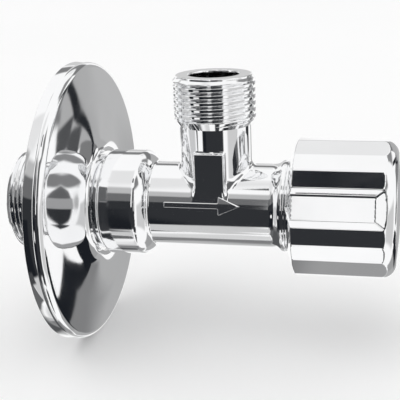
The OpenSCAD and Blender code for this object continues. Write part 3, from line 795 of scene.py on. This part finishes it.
def thread_tree():
    """The geometry nodes that roll a grid into a sleeve about the Z axis and cut its thread.

    The first row and the last two are the sleeve's inside, and the rows between them the thread.
    """
    tree = bpy.data.node_groups.new("pipe thread", "GeometryNodeTree")
    sums = partial(math_node, tree)
    given = thread_inputs(tree)
    grid = tree.nodes.new("GeometryNodeMeshGrid")
    tree.links.new(sums("ADD", given["Columns"], 1), grid.inputs["Vertices X"])
    tree.links.new(given["Rows"], grid.inputs["Vertices Y"])
    where = tree.nodes.new("ShaderNodeSeparateXYZ")
    tree.links.new(tree.nodes.new("GeometryNodeInputPosition").outputs[0], where.inputs[0])
    turn = sums("ADD", where.outputs[0], 0.5)
    last = sums("SUBTRACT", given["Rows"], 1)
    row = sums("ROUND", sums("MULTIPLY", sums("ADD", where.outputs[1], 0.5), last))
    height = thread_height(sums, given, turn, row, last)
    radius = thread_radius(tree, sums, given, turn, height)
    first_row = sums("LESS_THAN", row, 0.5)
    last_two = sums("GREATER_THAN", row, sums("SUBTRACT", last, 1.5))
    last_row = sums("GREATER_THAN", row, sums("SUBTRACT", last, 0.5))
    radius = mixed_number(tree, sums("MAXIMUM", first_row, last_two), radius,
                          given["Inner radius"])
    height = mixed_number(tree, sums("MAXIMUM", first_row, last_row), height, given["Start"])
    bearing = sums("MULTIPLY", turn, math.tau)
    place = tree.nodes.new("ShaderNodeCombineXYZ")
    for number, socket in zip((sums("MULTIPLY", radius, sums("COSINE", bearing)),
                               sums("MULTIPLY", radius, sums("SINE", bearing)),
                               height), place.inputs):
        tree.links.new(number, socket)
    flow = grid.outputs["Mesh"]
    for kind in ("SetPosition", "MergeByDistance", "RealizeInstances", "SetMaterial"):
        node = tree.nodes.new("GeometryNode" + kind)
        tree.links.new(flow, node.inputs["Geometry"])
        flow = node.outputs["Geometry"]
        if kind == "SetPosition":
            tree.links.new(place.outputs[0], node.inputs["Position"])
        elif kind == "MergeByDistance":
            node.inputs["Distance"].default_value = SEAM_GAP
        elif kind == "SetMaterial":
            tree.links.new(given["Material"], node.inputs["Material"])
    tree.links.new(flow, tree.nodes.new("NodeGroupOutput").inputs["Geometry"])
    return tree


def thread_piece(name, tree, values, place):
    """A thread sleeve made by the tree, as a plain mesh put in its place by a matrix."""
    maker = add_object(name + "_maker", bpy.data.meshes.new(name + "_maker"))
    modifier = maker.modifiers.new("thread", "NODES")
    modifier.node_group = tree
    for item in tree.interface.items_tree:
        if item.item_type == "SOCKET" and item.in_out == "INPUT":
            modifier[item.identifier] = values[item.name]
    evaluated = maker.evaluated_get(bpy.context.evaluated_depsgraph_get())
    mesh = bpy.data.meshes.new_from_object(evaluated)
    mesh.name = name
    maker.modifiers.clear()
    bpy.data.objects.remove(maker)
    mesh.transform(place)
    tidy_mesh(mesh, crease=50)
    return add_object(name, mesh)


# Finishes

def shader_inputs(material):
    """The sockets of a material's Principled shader."""
    return material.node_tree.nodes["Principled BSDF"].inputs


def new_material(name, **values):
    """A material with a Principled shader, and the values that are the same all over it."""
    if name in bpy.data.materials:
        raise RuntimeError("There is a material named " + name + " already")
    material = bpy.data.materials.new(name)
    material.use_nodes = True
    for socket, value in values.items():
        shader_inputs(material)[socket].default_value = value
    return material


def noise(material, scale, detail=3.0, stretch=(1, 1, 1)):
    """Noise on object coordinates. The scale is in cells per metre."""
    nodes, links = material.node_tree.nodes, material.node_tree.links
    texture = nodes.new("ShaderNodeTexNoise")
    texture.inputs["Scale"].default_value = scale
    texture.inputs["Detail"].default_value = detail
    mapping = nodes.new("ShaderNodeMapping")
    mapping.inputs["Scale"].default_value = stretch
    links.new(nodes.new("ShaderNodeTexCoord").outputs["Object"], mapping.inputs["Vector"])
    links.new(mapping.outputs[0], texture.inputs["Vector"])
    return texture.outputs["Fac"]


def vary(material, socket, fac, low, high):
    """Varies a number of the shader between two values by a pattern."""
    tree = material.node_tree
    span = tree.nodes.new("ShaderNodeMapRange")
    for name, value in (("From Min", 0.3), ("From Max", 0.7), ("To Min", low), ("To Max", high)):
        span.inputs[name].default_value = value
    tree.links.new(fac, span.inputs["Value"])
    tree.links.new(span.outputs[0], shader_inputs(material)[socket])


def tint(material, fac, low, high):
    """Varies the base colour between two colours by a pattern."""
    tree = material.node_tree
    ramp = tree.nodes.new("ShaderNodeValToRGB")
    for stop, position, colour in zip(ramp.color_ramp.elements, (0.35, 0.65), (low, high)):
        stop.position = position
        stop.color = (*colour, 1)
    tree.links.new(fac, ramp.inputs[0])
    tree.links.new(ramp.outputs[0], shader_inputs(material)["Base Color"])


def emboss(material, layers):
    """Adds bumps from patterns, each with its depth in metres and its strength."""
    nodes, links = material.node_tree.nodes, material.node_tree.links
    last = None
    for fac, depth, strength in layers:
        bump = nodes.new("ShaderNodeBump")
        bump.inputs["Distance"].default_value = depth
        bump.inputs["Strength"].default_value = strength
        links.new(fac, bump.inputs["Height"])
        if last is not None:
            links.new(last, bump.inputs["Normal"])
        last = bump.outputs[0]
    links.new(last, shader_inputs(material)["Normal"])


def darker(colour, share):
    """A colour with less light."""
    return tuple(channel * share for channel in colour)


def chrome_finish(name, smooth, rough, ripple):
    """Polished chrome: faint waves of the buffing wheel, hairlines and wiped patches."""
    colour = settings("finish").chrome
    material = new_material(name, Metallic=1.0)
    tint(material, noise(material, 90, detail=4), darker(colour, 0.97), colour)
    vary(material, "Roughness", noise(material, 160, detail=5), smooth, rough)
    waves = noise(material, 220, detail=1.5)
    hairlines = noise(material, 5200, detail=2, stretch=(0.12, 1, 1))
    emboss(material, [(waves, ripple, 0.25), (hairlines, 1.2e-6, 0.12)])


def turned_finish(name, colour, line_scale):
    """Bright turned metal with fine tool lines across the axis."""
    material = new_material(name, Metallic=1.0)
    nodes, links = material.node_tree.nodes, material.node_tree.links
    lines = nodes.new("ShaderNodeTexWave")
    lines.bands_direction = "X"
    lines.inputs["Scale"].default_value = line_scale
    lines.inputs["Distortion"].default_value = 0.6
    links.new(nodes.new("ShaderNodeTexCoord").outputs["Object"], lines.inputs["Vector"])
    tint(material, noise(material, 300, detail=5), darker(colour, 0.86), colour)
    vary(material, "Roughness", noise(material, 700, detail=4), 0.22, 0.38)
    emboss(material, [(lines.outputs["Fac"], 4e-6, 0.35), (noise(material, 2500), 3e-6, 0.3)])


def moulded_finish(name, colour, roughness, grain):
    """Rubber, fibre or plastic with a fine grain."""
    material = new_material(name)
    tint(material, noise(material, 500, detail=4), darker(colour, 0.82), colour)
    vary(material, "Roughness", noise(material, 900, detail=4), roughness - 0.08, roughness + 0.08)
    emboss(material, [(noise(material, grain, detail=4), 1.5e-5, 0.4)])


INNER_FINISHES = {
    "turned_brass": ("bonnet", "spindle", "plunger"),
    "zinc_steel": ("circlip", "washer_plate", "washer_screw", "handle_screw", "screw_washer"),
    "matt_rubber": ("spindle_o_ring_inner", "spindle_o_ring_outer", "plunger_o_ring",
                    "seat_washer"),
    "red_fibre": ("bonnet_gasket",),
    "natural_nylon": ("slide_ring", "handle_insert"),
}


# Studio: what the chrome sees, as cards in degrees round from the front and up from level.
# A lean moves a card back by so many degrees for each degree up, a shade is 0 for black and 1 for
# white, and later cards hide earlier ones

STUDIO_CARDS = (
    # turn from, turn to, height from, height to, soft edge, lean, shade
    (-181, -100, -80, -44, 6.0, 0.0, 0.5),
    (-100, -35, -85, -71, 3.0, 0.0, 0.68),
    (-181, -152, -91, -60, 3.0, 0.0, 0.33),
    (150, 181, -91, -60, 3.0, 0.0, 0.33),
    (-146, -58, -66, -31, 4.0, 0.0, 0.09),
    (-78, -37.5, -66, -40, 1.2, 0.0, 0.13),
    (-36.5, -14, -62, -41, 1.0, 0.0, 0.6),
    (-36.5, -24, -69, -60, 1.0, 0.0, 0.6),
    (8, 45, -82, -56, 3.0, 0.0, 0.03),
    (-128, -76, -36, 32, 3.0, 0.0, 0.2),
    (-80, -24, 46, 80, 9.0, 0.0, 0.8),
    (118, 150, -57, -33, 2.0, 0.0, 0.35),
    (149, 173, -56, 27, 0.5, 0.0, 0.42),
    (122, 152, 30, 54, 4.0, 0.0, 0.26),
    (150, 181, 20, 36, 2.5, 0.0, 0.2),
    (-181, -148, 22, 36, 2.5, 0.0, 0.22),
    (-181, -165, 37, 46, 2.0, 0.0, 0.85),
    (170, 181, 37, 46, 2.0, 0.0, 0.85),
    (-160, -115, -84, -66, 3.0, 0.0, 0.22),
    (50, 104, -36, 4, 4.0, 0.0, 0.62),
    (36, 72, 36, 60, 4.0, 0.0, 0.22),
    (-48, -33, 34, 48, 3.0, 0.0, 0.4),
    (-63, -33, 10, 37, 2.0, 0.0, 0.15),
    (-33, -8, 31, 44, 3.0, 0.0, 0.5),
    (-33, -8, 8, 32, 2.0, 0.0, 0.15),
    (2, 36, 14, 45, 1.0, 0.0, 0.12),
    (-63, 36, -44.5, 14, 1.8, 0.0, 0.03),
    (-63, -19, -44.5, 14, 2.0, 0.0, 0.012),
    (2, 41, -52, -38, 1.5, 0.0, 0.04),
    (-172, -150, -4, 18, 3.0, 0.0, 0.62),
    (-48, -28, -50, -40, 1.5, 0.0, 0.06),
    (-63, -8, 0, 16, 1.0, 0.0, 0.03),
    (23, 38, -5, 16, 1.5, 0.0, 0.35),
    (159, 173, -11, 0, 2.0, 0.0, 0.48),
    (148, 160, -32, -20, 3.5, 0.0, 0.22),
    (118, 148, -34, -19.6, 0.6, 0.0, 0.012),
    (131, 173.1, -28, -19.6, 0.25, -0.78, 0.012),
    (160, 172.5, -24.2, -11.6, 0.25, -1.0, 1.0),
    (110, 129.7, -34, -19.8, 0.3, 0.74, 0.012),
    (125, 142.5, -17, -9, 1.0, 0.0, 0.03),
    (128, 150, -7.8, 12, 0.6, 0.0, 0.2),
    (149, 154.8, -11.6, -8.6, 0.35, 0.0, 0.08),
    (148.6, 150.7, -9.6, 0.5, 0.25, 0.7, 0.012),
    (148, 151, 0, 12, 0.5, 1.15, 0.012),
    (149.5, 157, 11, 28, 1.2, 1.0, 0.012),
    (-47, -30.5, -16.5, -9.5, 1.5, 0.0, 1.0),
    (-19.8, 6, 56.5, 66.5, 0.6, 0.0, 0.015),
    (-8.8, 2, 5, 56, 0.6, 0.0, 0.99),
)
CARD_BLACK = (0.0, 0.002, 0.006, 1)
# The large soft light above the valve, laid out as a card without a shade
SOFT_LIGHT = (-110, 30, 42, 84, 14, 0)
# Width of the camera's film in millimetres
FILM_WIDTH = 36


def card_mask(tree, turn, height, turn_low, turn_high, low, high, soft, lean):
    """How much of a direction a card covers."""
    if lean:
        turn = math_node(tree, "ADD", turn, math_node(tree, "MULTIPLY", height, lean))
    share = None
    for value, edge, inside in ((turn, turn_low, 1), (turn, turn_high, 0),
                                (height, low, 1), (height, high, 0)):
        span = tree.nodes.new("ShaderNodeMapRange")
        span.interpolation_type = "SMOOTHSTEP"
        for name, number in (("From Min", edge - soft), ("From Max", edge + soft),
                             ("To Min", 1 - inside), ("To Max", inside)):
            span.inputs[name].default_value = number
        tree.links.new(value, span.inputs["Value"])
        share = span.outputs[0] if share is None else math_node(
            tree, "MULTIPLY", share, span.outputs[0])
    return share


def card_colour(tree, turn, height):
    """Socket with the colour that the cards show in a direction, on a white ground."""
    shade = tree.nodes.new("ShaderNodeValue").outputs[0]
    shade.default_value = 1.0
    for *card, grey in STUDIO_CARDS:
        value = tree.nodes.new("ShaderNodeValue").outputs[0]
        value.default_value = grey
        shade = mixed_number(tree, card_mask(tree, turn, height, *card), shade, value)
    ramp = tree.nodes.new("ShaderNodeValToRGB")
    ramp.color_ramp.elements[0].color = CARD_BLACK
    ramp.color_ramp.elements[1].color = (1, 1, 1, 1)
    tree.links.new(shade, ramp.inputs[0])
    return ramp.outputs[0]


def studio_sky(world, fill, key):
    """White surroundings for the camera, soft light from above, and cards that the gloss shows."""
    world.use_nodes = True
    world.cycles.sampling_method = "NONE"
    tree = world.node_tree
    tree.nodes.clear()
    sums = partial(math_node, tree)
    parts = tree.nodes.new("ShaderNodeSeparateXYZ")
    tree.links.new(tree.nodes.new("ShaderNodeTexCoord").outputs["Generated"], parts.inputs[0])
    turn = sums("ARCTAN2", parts.outputs[0], sums("MULTIPLY", parts.outputs[1], -1))
    turn = sums("DEGREES", turn)
    height = sums("DEGREES", sums("ARCSINE", parts.outputs[2]))
    light, gloss, white = (tree.nodes.new("ShaderNodeBackground") for _ in range(3))
    above = card_mask(tree, turn, height, *SOFT_LIGHT)
    tree.links.new(sums("ADD", sums("MULTIPLY", above, key), fill), light.inputs["Color"])
    tree.links.new(card_colour(tree, turn, height), gloss.inputs["Color"])
    white.inputs["Color"].default_value = (1, 1, 1, 1)
    path = tree.nodes.new("ShaderNodeLightPath")
    flow = light.outputs[0]
    for test, shader in (("Is Glossy Ray", gloss), ("Is Camera Ray", white)):
        mix = tree.nodes.new("ShaderNodeMixShader")
        tree.links.new(path.outputs[test], mix.inputs[0])
        tree.links.new(flow, mix.inputs[1])
        tree.links.new(shader.outputs[0], mix.inputs[2])
        flow = mix.outputs[0]
    tree.links.new(flow, tree.nodes.new("ShaderNodeOutputWorld").inputs["Surface"])


def floor_finish():
    """Pale matt floor, clear from below and to the gloss, which sees the studio's cards."""
    material = new_material("studio_floor", Roughness=0.9)
    nodes, links = material.node_tree.nodes, material.node_tree.links
    tint(material, noise(material, 3, detail=2), (0.965, 0.965, 0.965), (0.975, 0.975, 0.975))
    mix = nodes.new("ShaderNodeMixShader")
    clear = nodes.new("ShaderNodeMath")
    clear.operation = "MAXIMUM"
    links.new(nodes.new("ShaderNodeNewGeometry").outputs["Backfacing"], clear.inputs[0])
    links.new(nodes.new("ShaderNodeLightPath").outputs["Is Glossy Ray"], clear.inputs[1])
    links.new(clear.outputs[0], mix.inputs[0])
    links.new(nodes["Principled BSDF"].outputs[0], mix.inputs[1])
    links.new(nodes.new("ShaderNodeBsdfTransparent").outputs[0], mix.inputs[2])
    links.new(mix.outputs[0], nodes["Material Output"].inputs["Surface"])
    return material


def floor_piece(level, half):
    """The floor, a square at a level."""
    mesh = bpy.data.meshes.new("studio_floor")
    mesh.from_pydata([(-half, -half, level), (half, -half, level), (half, half, level),
                      (-half, half, level)], [], [(0, 1, 2, 3)])
    mesh.materials.append(floor_finish())
    return add_object("studio_floor", mesh)


def camera_turn(yaw, pitch, roll):
    """Rotation of a camera that looks along Y, turned, looking down and rolled."""
    right = Vector((math.cos(yaw), math.sin(yaw), 0))
    back = Vector((math.sin(yaw) * math.cos(pitch), -math.cos(yaw) * math.cos(pitch),
                   math.sin(pitch)))
    up = back.cross(right)
    rolled_right = right * math.cos(roll) - up * math.sin(roll)
    rolled_up = right * math.sin(roll) + up * math.cos(roll)
    return Matrix((rolled_right, rolled_up, back)).transposed().to_4x4()


# Operators

class VALVE_OT_finishes(bpy.types.Operator):
    """Makes the chrome, brass, steel, rubber, fibre and nylon, and dresses the inner parts"""

    bl_idname = "valve.finishes"
    bl_label = "Finishes"

    def execute(self, context):
        colours = settings("finish")
        chrome_finish("polished_body", smooth=0.045, rough=0.08, ripple=2e-5)
        chrome_finish("polished_flange", smooth=0.03, rough=0.06, ripple=1e-5)
        chrome_finish("polished_handle", smooth=0.05, rough=0.09, ripple=1.2e-5)
        turned_finish("turned_brass", colours.brass, line_scale=900)
        turned_finish("zinc_steel", colours.steel, line_scale=1400)
        moulded_finish("matt_rubber", colours.rubber, roughness=0.6, grain=2600)
        moulded_finish("red_fibre", colours.fibre, roughness=0.8, grain=1800)
        moulded_finish("natural_nylon", colours.nylon, roughness=0.45, grain=1500)
        for finish, names in INNER_FINISHES.items():
            for name in names:
                node = frame["nodes"][name]
                if not node.material_slots:
                    node.data.materials.append(None)
                for slot in node.material_slots:
                    slot.material = bpy.data.materials[finish]
        return {"FINISHED"}


class VALVE_OT_forging(bpy.types.Operator):
    """Makes the forged body with its collar, tube, neck, flats, bores and seat"""

    bl_idname = "valve.forging"
    bl_label = "Forged body"

    def execute(self, context):
        size = settings("forging")
        piece = shell_piece("forged_body", forging_distance,
                            (INLET_END, -size.collar_r, -size.collar_r),
                            (TUBE_END, size.collar_r, OUTLET_TOP), size.step)
        finish_piece(piece, "polished_body", "valve", "chrome_body", "valve_body")
        return {"FINISHED"}


class VALVE_OT_threads(bpy.types.Operator):
    """Cuts the pipe threads of the inlet and the outlet"""

    bl_idname = "valve.threads"
    bl_label = "Pipe threads"

    def execute(self, context):
        size = settings("threads")
        body = settings("forging")
        tree = thread_tree()
        outlet_r = mount_radius("outlet_thread")
        inlet_r = mount_radius("inlet_thread")
        along_x = Matrix(((0, 0, 1, 0), (1, 0, 0, 0), (0, 1, 0, 0), (0, 0, 0, 1)))
        # Name, radius, pitch and depth, where each end lies, how long it tapers and drops, place
        jobs = (
            ("outlet_thread_turns", outlet_r, size.outlet_pitch, size.outlet_depth,
             (size.outlet_bottom, size.outlet_runout, outlet_r - body.neck_r + RUNOUT_SINK),
             (OUTLET_TOP - SLEEVE_INSET, size.lead_len, size.outlet_lead_drop),
             Matrix.Translation((OUTLET_X * MM, 0, 0))),
            ("inlet_thread_turns", inlet_r, size.inlet_pitch, size.inlet_depth,
             (INLET_END + SLEEVE_INSET, size.lead_len, size.inlet_lead_drop),
             (size.inlet_front, size.inlet_runout, inlet_r - body.shank_r + RUNOUT_SINK),
             along_x),
        )
        for name, crest, pitch, depth, start, end, place in jobs:
            (low, low_len, low_drop), (high, high_len, high_drop) = start, end
            turns = (high - low) / pitch + 2
            deepest = max(depth, low_drop, high_drop)
            piece = thread_piece(name, tree, {
                "Start": low * MM, "End": high * MM, "Pitch": pitch * MM,
                "Crest radius": crest * MM, "Depth": depth * MM,
                "Inner radius": (crest - deepest - SLEEVE_WALL) * MM,
                "Start drop": low_drop * MM, "Start slope": low_drop / low_len,
                "End drop": high_drop * MM, "End slope": high_drop / high_len,
                "Columns": size.around, "Rows": int(turns * size.rows_per_turn) + SPARE_ROWS,
                "Material": bpy.data.materials["polished_body"]}, place)
            finish_piece(piece, "polished_body", "valve", "chrome_body")
        return {"FINISHED"}


class VALVE_OT_flange(bpy.types.Operator):
    """Makes the pressed wall flange with its rolled lip and bell"""

    bl_idname = "valve.flange"
    bl_label = "Wall flange"

    def execute(self, context):
        size = settings("flange")
        piece = lathe_piece("wall_flange", flange_profile(size), size.around, crease=28)
        finish_piece(piece, "polished_flange", "valve", "chrome_flange", "escutcheon")
        return {"FINISHED"}


class VALVE_OT_handle(bpy.types.Operator):
    """Makes the fluted handle casting and the plug in its end"""

    bl_idname = "valve.handle"
    bl_label = "Handle"

    def execute(self, context):
        size = settings("handle")
        reach = size.ridge_r + RIDGE_STOCK
        piece = shell_piece("fluted_handle", handle_distance, (HANDLE_START, -reach, -reach),
                            (HANDLE_END, reach, reach), size.step)
        finish_piece(piece, "polished_handle", "handle", "chrome_handle", "handle")
        plug = lathe_piece("end_plug", plug_profile(), around=128, closed=False)
        finish_piece(plug, "polished_handle", "handle", "chrome_handle", "handle_plug")
        return {"FINISHED"}


class VALVE_OT_mark(bpy.types.Operator):
    """Makes the plain raised arrow that shows the direction of flow"""

    bl_idname = "valve.mark"
    bl_label = "Flow arrow"

    def execute(self, context):
        size = settings("mark")
        reach = settings("forging").tube_r + size.height
        middle = Vector((0, -math.cos(size.turn), math.sin(size.turn))) * reach
        side = size.head_half + ARROW_ROOM
        low = (size.start_x, -reach, middle.z - side)
        high = (size.start_x + size.length_x, middle.y + 2 * ARROW_ROOM, middle.z + side)
        piece = shell_piece("flow_arrow", arrow_distance, low, high, size.step)
        finish_piece(piece, "polished_body", "valve", "chrome_body")
        return {"FINISHED"}


class VALVE_OT_studio(bpy.types.Operator):
    """Makes the floor, the light and the camera"""

    bl_idname = "valve.studio"
    bl_label = "Studio"

    def execute(self, context):
        studio = settings("studio")
        scene = context.scene
        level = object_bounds()[0][2]
        floor = floor_piece(level, studio.floor_half)
        floor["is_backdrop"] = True
        scene.world = scene.world or bpy.data.worlds.new("studio")
        studio_sky(scene.world, studio.fill_strength, studio.key_strength)
        camera = bpy.data.cameras.new("camera")
        camera.sensor_width = FILM_WIDTH
        camera.lens = FILM_WIDTH * studio.focal_share
        camera.shift_x = studio.shift_x
        camera.clip_start = 0.005
        turn = camera_turn(studio.camera_yaw, studio.camera_pitch, studio.camera_roll)
        scene.camera = add_object("camera", camera)
        scene.camera.matrix_world = Matrix.Translation(Vector(studio.camera_place) * MM) @ turn
        scene.view_settings.view_transform = "Standard"
        return {"FINISHED"}


class VALVE_PT_panel(bpy.types.Panel):
    """Lists the steps that build the valve"""

    bl_label = "Angle Valve"
    bl_idname = "VALVE_PT_panel"
    bl_space_type = "VIEW_3D"
    bl_region_type = "UI"
    bl_category = "Angle Valve"

    def draw(self, context):
        for step in STEPS:
            self.layout.operator(step.bl_idname)
        for name, group in GROUPS.items():
            box = self.layout.box()
            box.label(text=group.__doc__)
            for field in group.__annotations__:
                box.prop(settings(name), field)


GROUPS = {
    "forging": ForgingSizes, "threads": ThreadSizes, "flange": FlangeSizes,
    "handle": HandleSizes, "mark": MarkSizes, "finish": FinishColours, "studio": StudioSettings,
}
STEPS = (VALVE_OT_finishes, VALVE_OT_forging, VALVE_OT_threads, VALVE_OT_flange,
         VALVE_OT_handle, VALVE_OT_mark, VALVE_OT_studio)


def register():
    """Registers the settings, the operators and the panel."""
    for group in GROUPS.values():
        bpy.utils.register_class(group)
    for name, group in GROUPS.items():
        setattr(bpy.types.Scene, "valve_" + name, PointerProperty(type=group))
    for step in STEPS:
        bpy.utils.register_class(step)
    bpy.utils.register_class(VALVE_PT_panel)


def unregister():
    """Takes them all away again."""
    bpy.utils.unregister_class(VALVE_PT_panel)
    for step in reversed(STEPS):
        bpy.utils.unregister_class(step)
    for name, group in GROUPS.items():
        delattr(bpy.types.Scene, "valve_" + name)
        bpy.utils.unregister_class(group)


def main():
    """Registers the add-on and builds everything in order."""
    register()
    for step in STEPS:
        group, name = step.bl_idname.split(".")
        getattr(getattr(bpy.ops, group), name)()


if __name__ == "__main__":
    main()
